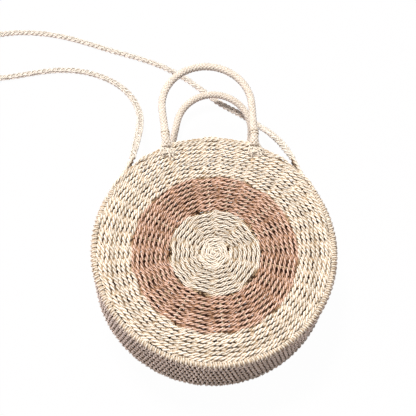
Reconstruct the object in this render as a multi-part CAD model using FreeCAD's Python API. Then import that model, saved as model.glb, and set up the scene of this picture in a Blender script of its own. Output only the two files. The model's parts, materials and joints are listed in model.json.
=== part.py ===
import FreeCAD, Part
import math
import os

# A round woven shoulder bag that lies on its back, in millimetres.
# +Z is up, out of the front face, and +Y runs from the middle to the mouth and the handles.
# The origin is the middle of the back panel's outer face, on the surface that the bag lies on.

Vector = FreeCAD.Vector
UP = Vector(0, 0, 1)
ACROSS = Vector(1, 0, 0)

# Panels and side band. Angles are counted from +X towards +Y.
disc_radius = 163.5
bag_depth = 105.0
weave_thickness = 6.0
rim_width = 8.0
rim_height = 9.0
rim_rounding = 2.5
gusset_thickness = 6.0
gusset_left_angle = 145.0
gusset_right_angle = 33.0

# Colour zones of the weave, about a centre that sits towards the foot of the disc
weave_centre_y = -8.5
centre_radius = 61.0
ring_radius = 110.0

# Stakes: bundles at the hub fork into pairs at the ring and into single stakes outside it
bundle_count = 10
bundle_phase = -5.0
hub_radius = 12.0
bundle_width = 6.0
pair_width = 3.6
stake_width = 2.2
stake_height = 2.0
fork_length = 12.0
stake_end_gap = 0.3
gusset_stake_count = 6

# Whip stitches between the side band and each rim
stitch_count = 96
stitch_width = 3.4
stitch_length = 9.0
stitch_thickness = 1.4
stitch_free_end = 4.0

# Handles: a braided rope arch whose rounded feet turn beside its fixed ends
rope_diameter = 10.0
core_diameter = 5.0
handle_half_span = 61.0
front_arch_radius = 63.0
front_arch_rise = 54.0
front_arch_lean = -3.0
back_arch_radius = 56.0
back_arch_rise = 63.0
back_arch_lean = 11.5
hinge_gap = 0.5
front_foot_overhang = 2.9
back_foot_overhang = 6.4
back_handle_tilt = 8.5
handle_end_width = 12.0
handle_end_length = 17.0
handle_end_thickness = 3.0
lashing_count = 3
lashing_width = 2.4
lashing_thickness = 1.2
lashing_overlap = 3.0
whipping_count = 2
whipping_width = 3.0
whipping_thickness = 1.0
whipping_pitch = 4.5
whipping_start = 8.0

# Shoulder strap: its route from the right root to the left one, laid on the surface
strap_diameter = 9.0
strap_route = [
    (115, 134, 91), (108, 149, 87), (101.5, 165.5, 78), (94, 184.5, 62), (89, 203, 41), (85, 218, 21),
    (78, 231, 8.5), (64, 246, 4.9), (45, 258, 4.8), (22, 272, 4.8), (0, 292, 4.8), (-26, 315, 4.8),
    (-58, 336, 4.8), (-97, 353, 4.8), (-141, 367, 4.8), (-183, 383, 4.8), (-224, 396, 4.8), (-264, 402, 4.8),
    (-304, 402, 4.8), (-339, 393, 4.8), (-362, 373, 4.8), (-366, 346, 4.8), (-348, 325, 4.8),
    (-318, 319, 4.8), (-284, 324, 4.8), (-248, 331, 4.8), (-212, 334, 4.8), (-178, 329, 4.8),
    (-150, 318, 4.8), (-128, 304, 4.8), (-112, 286.5, 4.8), (-102, 266, 5.2), (-98.5, 247, 14.5),
    (-98, 231, 28), (-98.5, 209, 48), (-101, 183, 68), (-104, 161, 82), (-106.5, 148, 88), (-108, 138, 90),
]
right_run_point_count = 18
left_run_point_count = 15
arc_share_of_run = 0.45

rim_inner_radius = disc_radius - rim_width
gusset_inner_radius = disc_radius - gusset_thickness
gusset_bottom = rim_height
gusset_top = bag_depth - rim_height
gusset_span = 360.0 + gusset_right_angle - gusset_left_angle
front_weave_bottom = bag_depth - weave_thickness
rim_edge_y = math.sqrt(disc_radius ** 2 - handle_half_span ** 2)


def disc(radius, bottom, top, centre_y=0.0):
    """Upright cylinder between two heights."""
    return Part.makeCylinder(radius, top - bottom, Vector(0, centre_y, bottom), UP)


def block(low, high):
    """Box between two corners."""
    size = high.sub(low)
    return Part.makeBox(size.x, size.y, size.z, low)


def sector(inner, outer, bottom, top, start, span):
    """Part of an upright ring, from a start angle through a span in degrees."""
    whole = Part.makeCylinder(outer, top - bottom, Vector(0, 0, bottom), UP, span)
    ring = whole.cut(disc(inner, bottom, top))
    ring.rotate(Vector(), UP, start)
    return ring


def weave_point(radius, angle):
    """Point at a radius and an angle about the middle of the weave."""
    turn = math.radians(angle)
    return Vector(radius * math.cos(turn), weave_centre_y + radius * math.sin(turn), 0)


def stake_reach(angle):
    """Length of a stake from the middle of the weave to just short of the rim."""
    lean = weave_centre_y * math.sin(math.radians(angle))
    to_rim = math.sqrt(lean ** 2 - weave_centre_y ** 2 + rim_inner_radius ** 2) - lean
    return to_rim - stake_end_gap


def rod(start, end, width, bottom):
    """Flat straight rod between two points of a panel."""
    along = end.sub(start)
    along.normalize()
    side = Vector(-along.y, along.x, 0).multiply(width / 2)
    corners = [start.add(side), end.add(side), end.sub(side), start.sub(side)]
    face = Part.Face(Part.makePolygon(corners + corners[:1]))
    bar = face.extrude(Vector(0, 0, stake_height))
    bar.translate(Vector(0, 0, bottom))
    return bar


def stake_bundle(angle, bottom):
    """One bundle of stakes, forked twice on its way to the rim."""
    fork_in = centre_radius - fork_length / 2
    fork_out = centre_radius + fork_length / 2
    ring_in = ring_radius - fork_length / 2
    ring_out = ring_radius + fork_length / 2
    pair_step = 360.0 / bundle_count / 4
    single_step = pair_step / 2
    hub_end = weave_point(fork_in, angle)
    rods = [rod(weave_point(hub_radius, angle), hub_end, bundle_width, bottom)]
    for side in (-1, 1):
        pair = angle + side * pair_step
        pair_start = weave_point(fork_out, pair)
        pair_end = weave_point(ring_in, pair)
        rods.append(rod(hub_end, pair_start, pair_width, bottom))
        rods.append(rod(pair_start, pair_end, pair_width, bottom))
        for branch in (-1, 1):
            single = pair + branch * single_step
            single_start = weave_point(ring_out, single)
            rods.append(rod(pair_end, single_start, stake_width, bottom))
            rods.append(rod(single_start, weave_point(stake_reach(single), single), stake_width, bottom))
    return rods[0].multiFuse(rods[1:]).removeSplitter()


def front_panel():
    """The solids of one panel, with its face at the bag's full depth."""
    stake_bottom = front_weave_bottom + (weave_thickness - stake_height) / 2
    step = 360.0 / bundle_count
    bundles = [stake_bundle(bundle_phase + step * k, stake_bottom) for k in range(bundle_count)]
    middle = disc(centre_radius, front_weave_bottom, bag_depth, weave_centre_y)
    to_ring = disc(ring_radius, front_weave_bottom, bag_depth, weave_centre_y)
    to_rim = disc(rim_inner_radius, front_weave_bottom, bag_depth)
    rim = disc(disc_radius, gusset_top, bag_depth).cut(disc(rim_inner_radius, gusset_top, bag_depth))
    outer_edge = [edge for edge in rim.Edges if edge.BoundBox.ZMin > gusset_top
                  and edge.BoundBox.XMax > rim_inner_radius and edge.Closed]
    return {
        "centre_weave": middle.cut(bundles),
        "rose_ring": to_ring.cut([middle] + bundles),
        "outer_weave": to_rim.cut([to_ring] + bundles),
        "stakes": Part.makeCompound(bundles),
        "rim": rim.makeFillet(rim_rounding, outer_edge),
    }


def gusset():
    """The side band and the warp cords that run along it."""
    wall = sector(gusset_inner_radius, disc_radius, gusset_bottom, gusset_top, gusset_left_angle, gusset_span)
    spacing = (gusset_top - gusset_bottom) / gusset_stake_count
    mid_radius = (gusset_inner_radius + disc_radius) / 2
    cords = []
    for k in range(gusset_stake_count):
        bottom = gusset_bottom + spacing * (k + 0.5) - stake_height / 2
        cords.append(sector(mid_radius - stake_width / 2, mid_radius + stake_width / 2,
                            bottom, bottom + stake_height, gusset_left_angle, gusset_span))
    return wall.cut(cords), Part.makeCompound(cords)


def seam_stitches(seam_height):
    """Whip stitches across the seam between the side band and a rim."""
    span = math.degrees(stitch_width / disc_radius)
    first = gusset_left_angle + stitch_free_end
    step = (gusset_span - 2 * stitch_free_end - span) / (stitch_count - 1)
    bottom = seam_height - stitch_length / 2
    top = seam_height + stitch_length / 2
    stitch = sector(disc_radius, disc_radius + stitch_thickness, bottom, top, first, span)
    stitches = []
    for k in range(stitch_count):
        copy = stitch.copy()
        copy.rotate(Vector(), UP, step * k)
        stitches.append(copy)
    return Part.makeCompound(stitches)


def strap_root(angle, tip, onward, outward_sign):
    """Tapered end of the side band, from its end face to the strap's first section."""
    turn = math.radians(angle)
    outward = Vector(math.cos(turn), math.sin(turn), 0)
    inner = Vector(outward).multiply(gusset_inner_radius)
    outer = Vector(outward).multiply(disc_radius)
    low = Vector(0, 0, gusset_bottom)
    high = Vector(0, 0, gusset_top)
    base = [inner.add(low), outer.add(low), outer.add(high), inner.add(high)]
    side = onward.cross(UP)
    rise = side.cross(onward)
    side.normalize()
    side.multiply(outward_sign * strap_diameter / 2)
    rise.normalize()
    rise.multiply(strap_diameter / 2)
    end = [tip.sub(side).sub(rise), tip.add(side).sub(rise), tip.add(side).add(rise), tip.sub(side).add(rise)]
    wires = [Part.makePolygon(points + points[:1]) for points in (base, end)]
    return Part.makeLoft(wires, True, True)


def rounded_path(points):
    """Straight runs joined by tangent arcs, each as large as its runs allow. Gives the wire and the radii."""
    edges = []
    radii = []
    start = points[0]
    for before, corner, after in zip(points, points[1:], points[2:]):
        back = before.sub(corner)
        ahead = after.sub(corner)
        reach = arc_share_of_run * min(back.Length, ahead.Length)
        half_turn = (math.pi - back.getAngle(ahead)) / 2
        radius = reach / math.tan(half_turn)
        back.normalize()
        ahead.normalize()
        arc_start = corner.add(Vector(back).multiply(reach))
        arc_end = corner.add(Vector(ahead).multiply(reach))
        bisector = back.add(ahead)
        bisector.normalize()
        middle = corner.add(bisector.multiply(radius / math.cos(half_turn) - radius))
        edges.append(Part.LineSegment(start, arc_start).toShape())
        edges.append(Part.Arc(arc_start, middle, arc_end).toShape())
        radii.append(radius)
        start = arc_end
    edges.append(Part.LineSegment(start, points[-1]).toShape())
    return Part.Wire(edges), radii


def strap_tube(name, points):
    """Round tube along a stretch of the strap."""
    path, radii = rounded_path(points)
    circle = Part.Circle(points[0], points[1].sub(points[0]), strap_diameter / 2)
    section = Part.Wire(circle.toShape())
    tube = path.makePipeShell([section], True, False)
    expected = math.pi * strap_diameter ** 2 / 4 * path.Length
    print(name, "length", round(path.Length, 1), "volume share", round(tube.Volume / expected, 4))
    print(name, "radii", [round(r) for r in radii])
    return tube


def handle_path(foot, lean, rise, radius):
    """Centre line of a handle, level with its feet: a leg, the arch and the other leg. Gives the leg ends too."""
    centre = Vector(lean, foot.y + rise, foot.z)
    far_foot = Vector(-foot.x, foot.y, foot.z)
    leg_ends = []
    for point, way in ((foot, 1), (far_foot, -1)):
        to_foot = point.sub(centre)
        toward = math.atan2(to_foot.y, to_foot.x) + way * math.acos(radius / to_foot.Length)
        leg_ends.append(centre.add(Vector(math.cos(toward), math.sin(toward), 0).multiply(radius)))
    top = centre.add(Vector(0, radius, 0))
    return Part.Wire([
        Part.LineSegment(foot, leg_ends[0]).toShape(),
        Part.Arc(leg_ends[0], top, leg_ends[1]).toShape(),
        Part.LineSegment(leg_ends[1], far_foot).toShape(),
    ]), leg_ends


def handle_rope(foot, path, leg_ends, tilt):
    """The moving rope of one handle: its braided sleeve, its core and the whippings on its legs."""
    feet = [foot, Vector(-foot.x, foot.y, foot.z)]

    def rope(diameter):
        section = Part.Wire(Part.Circle(foot, leg_ends[0].sub(foot), diameter / 2).toShape())
        return path.makePipeShell([section], True, False)

    core = rope(core_diameter)
    balls = [Part.makeSphere(rope_diameter / 2, point) for point in feet]
    braid = rope(rope_diameter).fuse(balls).removeSplitter().cut(core)
    bands = []
    for point, leg_end in zip(feet, leg_ends):
        along = leg_end.sub(point)
        along.normalize()
        for k in range(whipping_count):
            place = point.add(Vector(along).multiply(whipping_start + whipping_pitch * k - whipping_width / 2))
            outer = Part.makeCylinder(rope_diameter / 2 + whipping_thickness, whipping_width, place, along)
            bands.append(outer.cut(Part.makeCylinder(rope_diameter / 2, whipping_width, place, along)))
    whippings = Part.makeCompound(bands)
    for shape in (braid, core, whippings):
        shape.rotate(foot, ACROSS, tilt)
    return {"braid": braid, "core": core, "whippings": whippings}


def handle_ends(foot, bottom, lashing_bottom, lashing_top):
    """Flattened rope ends fixed to a panel, and the lashings across them."""
    end_y = foot.y - rope_diameter / 2 - hinge_gap
    start_y = end_y - handle_end_length
    half = handle_end_width / 2
    ends = []
    lashings = []
    for centre_x in (-handle_half_span, handle_half_span):
        ends.append(block(Vector(centre_x - half, start_y, bottom),
                          Vector(centre_x + half, end_y, bottom + handle_end_thickness)))
        pitch = handle_end_length / (lashing_count + 1)
        reach = half + lashing_overlap
        for k in range(lashing_count):
            low_y = start_y + pitch * (k + 1) - lashing_width / 2
            lashings.append(block(Vector(centre_x - reach, low_y, lashing_bottom),
                                  Vector(centre_x + reach, low_y + lashing_width, lashing_top)))
    return ends, lashings


nodes = {}

# Both panels: the back one is the front one turned over
front = front_panel()
mid_depth = Vector(0, 0, bag_depth / 2)
back = {name: shape.mirror(mid_depth, UP) for name, shape in front.items()}

# Handle feet: the front rope lies on the face, and the back rope lies on the floor under the bag
foot_height = rope_diameter / 2 + hinge_gap
front_foot = Vector(handle_half_span, rim_edge_y + front_foot_overhang, bag_depth + foot_height)
back_foot = Vector(handle_half_span, rim_edge_y + back_foot_overhang, foot_height)
front_ends, front_lashings = handle_ends(front_foot, bag_depth, bag_depth,
                                         bag_depth + handle_end_thickness + lashing_thickness)
back_ends, back_lashings = handle_ends(back_foot, lashing_thickness, 0.0, lashing_thickness)

# The back rope's ends and lashings are pressed into the panel, flush with its face
pockets = back_lashings + [end.fuse(block(Vector(end.BoundBox.XMin, end.BoundBox.YMin, 0),
                                          Vector(end.BoundBox.XMax, end.BoundBox.YMax, lashing_thickness)))
                           for end in back_ends]
for name in ("outer_weave", "stakes", "rim"):
    back[name] = back[name].cut(pockets)

for side, panel in (("front", front), ("back", back)):
    for name, shape in panel.items():
        nodes[side + "_" + name] = shape

nodes["gusset_weave"], nodes["gusset_stakes"] = gusset()
nodes["front_seam_stitches"] = seam_stitches(gusset_top)
nodes["back_seam_stitches"] = seam_stitches(gusset_bottom)

front_line = handle_path(front_foot, front_arch_lean, front_arch_rise, front_arch_radius)
back_line = handle_path(back_foot, back_arch_lean, back_arch_rise, back_arch_radius)
for side, foot, line, tilt in (("front", front_foot, front_line, 0.0),
                               ("back", back_foot, back_line, back_handle_tilt)):
    for name, shape in handle_rope(foot, *line, tilt).items():
        nodes[side + "_handle_" + name] = shape
for side, ends, lashings in (("front", front_ends, front_lashings), ("back", back_ends, back_lashings)):
    nodes[side + "_handle_left_end"], nodes[side + "_handle_right_end"] = ends
    nodes[side + "_handle_lashings"] = Part.makeCompound([lashing.cut(ends) for lashing in lashings])

# The strap is three stretches that meet in the middle of a run
route = [Vector(*point) for point in strap_route]
right_points = route[:right_run_point_count]
loop_points = route[right_run_point_count:-left_run_point_count]
left_points = route[-left_run_point_count:]
right_joint = right_points[-1].add(loop_points[0]).multiply(0.5)
left_joint = loop_points[-1].add(left_points[0]).multiply(0.5)
stretches = {
    "strap_right_run": right_points + [right_joint],
    "strap_far_loop": [right_joint] + loop_points + [left_joint],
    "strap_left_run": [left_joint] + left_points,
}
for name, points in stretches.items():
    nodes[name] = strap_tube(name, points)
nodes["right_strap_root"] = strap_root(gusset_right_angle, route[0], route[1].sub(route[0]), 1)
nodes["left_strap_root"] = strap_root(gusset_left_angle, route[-1], route[-2].sub(route[-1]), -1)

os.makedirs("parts", exist_ok=True)
for name, shape in nodes.items():
    shape.exportStep("parts/" + name + ".step")
    print(name, "solids", len(shape.Solids), "valid", shape.isValid(), "volume", round(shape.Volume, 1))
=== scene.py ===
import json
import math
from functools import partial

import bpy
import numpy as np
from bpy.props import FloatProperty, FloatVectorProperty, IntProperty, PointerProperty
from mathutils import Matrix, Vector


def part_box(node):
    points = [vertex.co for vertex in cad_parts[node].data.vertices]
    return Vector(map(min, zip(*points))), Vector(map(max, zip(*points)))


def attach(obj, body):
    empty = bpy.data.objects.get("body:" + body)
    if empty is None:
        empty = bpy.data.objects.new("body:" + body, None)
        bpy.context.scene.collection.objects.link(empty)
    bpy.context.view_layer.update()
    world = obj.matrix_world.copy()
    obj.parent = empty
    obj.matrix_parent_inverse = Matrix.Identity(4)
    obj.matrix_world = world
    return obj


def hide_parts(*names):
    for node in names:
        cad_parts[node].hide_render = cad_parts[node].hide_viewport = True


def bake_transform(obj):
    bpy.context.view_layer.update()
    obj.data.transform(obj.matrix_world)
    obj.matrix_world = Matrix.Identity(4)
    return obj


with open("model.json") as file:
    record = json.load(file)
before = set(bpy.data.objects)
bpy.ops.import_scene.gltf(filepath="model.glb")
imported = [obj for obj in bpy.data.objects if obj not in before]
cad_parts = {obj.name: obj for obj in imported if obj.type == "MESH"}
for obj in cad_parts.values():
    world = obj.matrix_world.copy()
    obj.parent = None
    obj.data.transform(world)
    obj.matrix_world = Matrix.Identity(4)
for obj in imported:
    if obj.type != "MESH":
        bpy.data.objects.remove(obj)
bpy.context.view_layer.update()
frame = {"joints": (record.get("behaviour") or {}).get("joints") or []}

bl_info = {
    "name": "Circle Bag",
    "version": (1, 0, 0),
    "blender": (4, 5, 0),
    "location": "View3D > Sidebar > Circle Bag",
    "description": "Weaves, braids and stitches a round straw bag over its construction model",
    "category": "Add Mesh",
}

MM = 0.001
TURN = 2 * math.pi
DEGREE = math.pi / 180
UP = np.array([0.0, 0.0, 1.0])


def middle_and_radius(node):
    """Height in Y of a disc's middle, and its radius."""
    low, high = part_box(node)
    return (low.y + high.y) / 2, (high.x - low.x) / 2


# Sizes that the construction model gives
WEAVE_CENTRE_Y, CENTRE_RADIUS = middle_and_radius("front_centre_weave")
RING_RADIUS = middle_and_radius("front_rose_ring")[1]
DISC_RADIUS = middle_and_radius("front_rim")[1]
BAG_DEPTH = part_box("front_rim")[1].z
BAND_BOTTOM, BAND_TOP = (corner.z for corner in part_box("gusset_weave"))
FOOT_X = sum(corner.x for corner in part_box("front_handle_right_end")) / 2
FEET = {joint["name"].removesuffix("_handle_swing"): np.array(joint["pos_m"][1:])
        for joint in frame["joints"]}

# Sizes that follow from them
RIM_INNER_RADIUS = DISC_RADIUS - 8 * MM
FRONT_MID_HEIGHT = BAG_DEPTH - 3.6 * MM
BAND_MID_RADIUS = DISC_RADIUS - 3.5 * MM
BAND_HEIGHT = BAND_TOP - BAND_BOTTOM
BAND_LEFT_ANGLE = 145 * DEGREE
BAND_RIGHT_ANGLE = 393 * DEGREE
BAND_SPAN = BAND_RIGHT_ANGLE - BAND_LEFT_ANGLE
MOUTH_START = BAND_RIGHT_ANGLE - TURN

# The strap's route from the right root to the left one, in millimetres, and its height on the floor
STRAP_REST = 3.9
STRAP_ROUTE = [
    (115, 134, 91), (108, 149, 87), (101.5, 165.5, 78), (94, 184.5, 62), (89, 203, 41), (85, 218, 21),
    (78, 231, 8.5), (64, 246, 4.2),
    *((x, y, STRAP_REST) for x, y in (
        (45, 258), (22, 272), (0, 292), (-26, 315), (-58, 336), (-97, 353), (-141, 367), (-183, 383),
        (-224, 396), (-264, 402), (-304, 402), (-339, 393), (-362, 373), (-366, 346), (-348, 325),
        (-318, 319), (-284, 324), (-248, 331), (-212, 334), (-178, 329), (-150, 318), (-128, 304),
        (-112, 286.5))),
    (-102, 266, 4.6), (-98.5, 247, 14.5), (-98, 231, 28), (-98.5, 209, 48), (-101, 183, 68),
    (-104, 161, 82), (-106.5, 148, 88), (-108, 138, 90),
]


def length_property(name, millimetres, description, lowest=0.0):
    """A length that the user can change, given in millimetres."""
    return FloatProperty(name=name, description=description, default=millimetres * MM, min=lowest,
                         precision=5, unit="LENGTH")


def count_property(name, default, lowest, description):
    """A whole number that the user can change."""
    return IntProperty(name=name, description=description, default=default, min=lowest)


def colour_property(name, colour, description):
    """A colour that the user can change."""
    return FloatVectorProperty(name=name, description=description, default=colour, size=3,
                               min=0.0, max=1.0, subtype="COLOR")


class CIRCLEBAG_PG_weave(bpy.types.PropertyGroup):
    """Sizes of the twisted straw cord and of the weave."""
    row_pitch: length_property("Row pitch", 3.05, "Distance between neighbouring weft rows")
    band_pitch: length_property("Band pitch", 3.05, "Distance between wefts round the side band")
    ply_radius: length_property("Ply radius", 1.2, "Radius of one ply of the straw cord")
    ply_offset: length_property("Ply offset", 1.0, "Distance of a ply from the middle of the cord")
    plies: count_property("Plies", 2, 2, "Plies in one cord")
    twist_length: length_property("Twist length", 15.0, "Length in which the plies turn once")
    weave_height: length_property("Weave height", 1.75, "How far a weft stands off the middle of the weave")
    flatness: FloatProperty(name="Flatness", description="How much wider a pressed cord is in the weave",
                            default=1.24, min=1.0, subtype="FACTOR")
    stake_radius: length_property("Stake radius", 0.9, "Radius of a stake")
    sample_step: length_property("Sample step", 1.5, "Distance between sections along a cord")
    wobble: length_property("Wobble", 0.55, "How far a row strays from its line")
    seed: count_property("Seed", 7, 0, "Start of the random draws")


class CIRCLEBAG_PG_ropes(bpy.types.PropertyGroup):
    """Sizes of the handles and the strap."""
    half_span: length_property("Half span", 61.0, "Half the distance between a handle's feet")
    front_arch_radius: length_property("Front arch radius", 63.0, "Radius of the front handle's arch")
    front_arch_rise: length_property("Front arch rise", 54.0, "Height of the arch's centre above its feet")
    front_lean: length_property("Front lean", -3.0, "How far the front arch leans to the right", -50 * MM)
    back_arch_radius: length_property("Back arch radius", 56.0, "Radius of the back handle's arch")
    back_arch_rise: length_property("Back arch rise", 63.0, "Height of the arch's centre above its feet")
    back_lean: length_property("Back lean", 11.5, "How far the back arch leans to the right", -50 * MM)
    rope_radius: length_property("Rope radius", 5.65, "Outer radius of the braided rope")
    braid_pitch: length_property("Braid pitch", 32.0, "Length in which a strand goes once round the rope")
    carriers: count_property("Carriers", 6, 3, "Strands of the braid in each direction")
    back_tilt: FloatProperty(name="Back tilt", description="Rise of the back handle over the strap",
                             default=8.5 * DEGREE, subtype="ANGLE")
    strap_width: length_property("Strap width", 9.0, "Width of the plaited strap")
    plait_pitch: length_property("Plait pitch", 22.0, "Length in which a strand crosses and returns")


class CIRCLEBAG_PG_colours(bpy.types.PropertyGroup):
    """Colours of the straw, the ropes, the twine and the floor."""
    cream: colour_property("Cream straw", (0.85, 0.773, 0.672), "Undyed straw")
    rose: colour_property("Rose straw", (0.75, 0.515, 0.41), "Straw of the dyed ring")
    stake: colour_property("Stake", (0.86, 0.79, 0.68), "Cords inside the weave")
    rope: colour_property("Handle rope", (0.755, 0.69, 0.615), "Braided handles")
    strap: colour_property("Strap", (0.775, 0.722, 0.65), "Plaited strap")
    twine: colour_property("Twine", (0.76, 0.66, 0.53), "Whippings on the handles")
    floor: colour_property("Floor", (0.68, 0.58, 0.63), "Floor as the bag sees it")


def settings(context):
    """Sizes of the weave, sizes of the ropes, and colours."""
    scene = context.scene
    return scene.circlebag_weave, scene.circlebag_ropes, scene.circlebag_colours


def each_side(sizes, offset):
    """Front and back, each with random draws of its own."""
    for number, side in enumerate(("front", "back")):
        yield side, np.random.default_rng(sizes.seed + offset + number)


def add_object(name, data):
    """A new object in the scene."""
    added = bpy.data.objects.new(name, data)
    bpy.context.scene.collection.objects.link(added)
    return added


# ---- lines


def smoothstep(value, low, high):
    """Smooth change from 0 at low to 1 at high."""
    share = np.clip((value - low) / (high - low), 0.0, 1.0)
    return share * share * (3 - 2 * share)


def squared_wave(angle, power=0.75):
    """A wave that stays near its tops and crosses quickly."""
    wave = np.cos(angle)
    return np.sign(wave) * np.abs(wave) ** power


def wander(rng, count):
    """A slow random wave over 0 to 1, of about unit height, that closes on itself."""
    phases = rng.uniform(0, TURN, count)
    heights = rng.uniform(0.4, 1.0, count) / np.sqrt(count)
    turns = rng.integers(2, 26, count)
    return lambda share: sum(h * np.sin(TURN * n * share + p) for h, n, p in zip(heights, turns, phases))


def unit(vectors):
    """The same directions at length 1."""
    return vectors / np.linalg.norm(vectors, axis=-1, keepdims=True)


def run_along(path):
    """Length of a line up to each of its points."""
    return np.concatenate([[0.0], np.cumsum(np.linalg.norm(np.diff(path, axis=0), axis=1))])


def values_at(at, run, values):
    """Vectors given along a line, at other lengths of it."""
    return np.stack([np.interp(at, run, column) for column in values.T], -1)


def ring_point(angle, radius, height):
    """Points at an angle, a radius and a height about the bag's middle."""
    angle, radius, height = np.broadcast_arrays(angle, radius, height)
    return np.stack([radius * np.cos(angle), radius * np.sin(angle), height], -1)


def frames_along(path, up_hint, closed=False):
    """Sideways and upward directions at each point of a line."""
    tangent = unit(np.roll(path, -1, 0) - np.roll(path, 1, 0) if closed else np.gradient(path, axis=0))
    side = unit(np.cross(tangent, up_hint))
    return side, np.cross(side, tangent)


def resample(path, step):
    """The same line with points at even steps."""
    run = run_along(path)
    return values_at(np.linspace(0.0, run[-1], max(3, int(run[-1] / step) + 1)), run, path)


def smooth_line(corners, step):
    """Catmull-Rom line through a few corners, with points at even steps."""
    ends = np.concatenate([[2 * corners[0] - corners[1]], corners, [2 * corners[-1] - corners[-2]]])
    share = np.linspace(0.0, 1.0, 12, endpoint=False)[:, None]
    runs = []
    for a, b, c, d in zip(ends, ends[1:], ends[2:], ends[3:]):
        runs.append(0.5 * (2 * b + (c - a) * share + (2 * a - 5 * b + 4 * c - d) * share ** 2
                           + (3 * b - a - 3 * c + d) * share ** 3))
    return resample(np.concatenate(runs + [corners[-1:]]), step)


# ---- cords as meshes


PLY_SIDES = 7
PLY_TONE_SPREAD = 0.35
PLY_SQUARENESS = 0.7
FINE_LAY = 1.6


class CordMesh:
    """Gathers tubes and writes them as one mesh that knows where along a cord each point lies."""

    def __init__(self, sizes, rng):
        self.sizes, self.rng = sizes, rng
        self.points, self.plies, self.tones, self.shades = [], [], [], []
        self.quads, self.caps = [], []
        self.size = 0

    def tube(self, centre, side, up, radius, tone, closed=False, sides=6, shade=0.0, lean=None, hidden_shade=0.75):
        """One tube along a line, with painted shade below and, in a twisted cord, where it faces the other
        plies.
        """
        count = len(centre)
        turn = np.arange(sides) * TURN / sides
        cos, sin = np.cos(turn), np.sin(turn)
        ring = cos[None, :, None] * side[:, None, :] + sin[None, :, None] * up[:, None, :]
        ply = np.empty((count, sides, 3))
        ply[..., 0] = run_along(centre)[:, None]
        ply[..., 1], ply[..., 2] = cos, sin
        row = np.arange(count if closed else count - 1)[:, None]
        here, ahead = self.size + row * sides, self.size + (row + 1) % count * sides
        column = np.arange(sides)
        beside = (column + 1) % sides
        quads = np.stack([here + column, ahead + column, ahead + beside, here + beside], -1)
        # Painted shade: the underside, and a ply's side that faces the other plies, are darkened
        hidden = np.broadcast_to(-sin, (count, sides))
        if lean is not None:
            hidden = np.maximum(hidden, -np.cos(turn - lean[:, None]))
        dark = hidden_shade * smoothstep(hidden, 0.05, 0.95)
        self.points.append((centre[:, None, :] + radius * ring).reshape(-1, 3))
        self.plies.append(ply.reshape(-1, 3))
        self.tones.append(np.full(count * sides, tone))
        self.shades.append(np.maximum(np.broadcast_to(shade, count)[:, None], dark).ravel())
        self.quads.append(quads.reshape(-1, 4))
        if not closed:
            first = self.size + column
            self.caps += [first, (first + (count - 1) * sides)[::-1]]
        self.size += count * sides

    def stake(self, line, up_hint, shade=0.0):
        """One smooth round stake."""
        side, up = frames_along(line, up_hint)
        self.tube(line, side, up, self.sizes.stake_radius, self.rng.uniform(0, 1), shade=shade)

    def plied(self, path, up_hint, scale=1.0, closed=False, flatness=1.0, shade=0.0, width=1.0, hidden_shade=0.6,
              fine=False):
        """Plies twisted round a line, wider than high where they are pressed.

        A fine cord is as thick, but has one more ply and a longer lay.
        """
        sizes, rng = self.sizes, self.rng
        plies = sizes.plies + 1 if fine else sizes.plies
        ply_radius = sizes.ply_radius * math.sqrt(sizes.plies / plies)
        ply_offset = sizes.ply_radius + sizes.ply_offset - ply_radius
        lay = sizes.twist_length * (FINE_LAY if fine else 1.0)
        side, up = frames_along(path, up_hint, closed)
        side = side * flatness * np.broadcast_to(width, len(path))[:, None]
        up = up / math.sqrt(flatness)
        run = run_along(np.concatenate([path, path[:1]]) if closed else path)
        turns = run[-1] / (lay * scale)
        if closed:
            turns = max(1, round(turns))
        angle = rng.uniform(0, TURN) + TURN * turns * run[:len(path)] / run[-1]
        base_tone = rng.uniform(0.0, 1.0)
        for ply in range(plies):
            lean = angle + TURN * ply / plies
            offset = squared_wave(lean, PLY_SQUARENESS)[:, None] * side + np.sin(lean)[:, None] * up
            tone = float(np.clip(base_tone + rng.uniform(-PLY_TONE_SPREAD, PLY_TONE_SPREAD), 0, 1))
            self.tube(path + ply_offset * scale * offset, side, up, ply_radius * scale, tone, closed,
                      PLY_SIDES, shade, lean, hidden_shade)

    def write(self, name, material, slot, *nodes, body="bag", bend=None):
        """A smooth mesh object that rides on a body, or, where a bend is given, stays free of it, and
        replaces nodes.
        """
        quads = np.concatenate(self.quads)
        loops = np.concatenate([quads.ravel(), *self.caps])
        lengths = [4] * len(quads) + [len(cap) for cap in self.caps]
        points = np.concatenate(self.points)
        mesh = bpy.data.meshes.new(name)
        mesh.vertices.add(len(points))
        mesh.vertices.foreach_set("co", points.astype(np.float32).ravel())
        mesh.loops.add(len(loops))
        mesh.loops.foreach_set("vertex_index", loops.astype(np.int32))
        mesh.polygons.add(len(lengths))
        mesh.polygons.foreach_set("loop_start", (np.cumsum(lengths) - lengths).astype(np.int32))
        mesh.update(calc_edges=True)
        # The shade attribute carries the painted shade to the material
        for attribute, kind, field, values in (("ply", "FLOAT_VECTOR", "vector", self.plies),
                                               ("tone", "FLOAT", "value", self.tones),
                                               ("shade", "FLOAT", "value", self.shades)):
            layer = mesh.attributes.new(attribute, kind, "POINT")
            layer.data.foreach_set(field, np.concatenate(values).astype(np.float32).ravel())
        mesh.shade_smooth()
        mesh.materials.append(material)
        piece = add_object(name, mesh)
        if bend:
            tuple(bend[0])
            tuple(bend[1])
            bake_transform(piece)
        else:
            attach(piece, body)
        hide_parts(*nodes)
        return piece


# ---- materials


# Warmer tint of the painted shade in the fibre creases
CREASE_SHADE_TINT = (1.0, 0.94, 0.86)
FIBRE_RELIEF = 0.4 * MM


def feed(tree, node, inputs):
    """Give each named input of a node its value, or link it to another node's output."""
    for name, value in inputs.items():
        if isinstance(value, bpy.types.NodeSocket):
            tree.links.new(value, node.inputs[name])
        else:
            node.inputs[name].default_value = value


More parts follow.
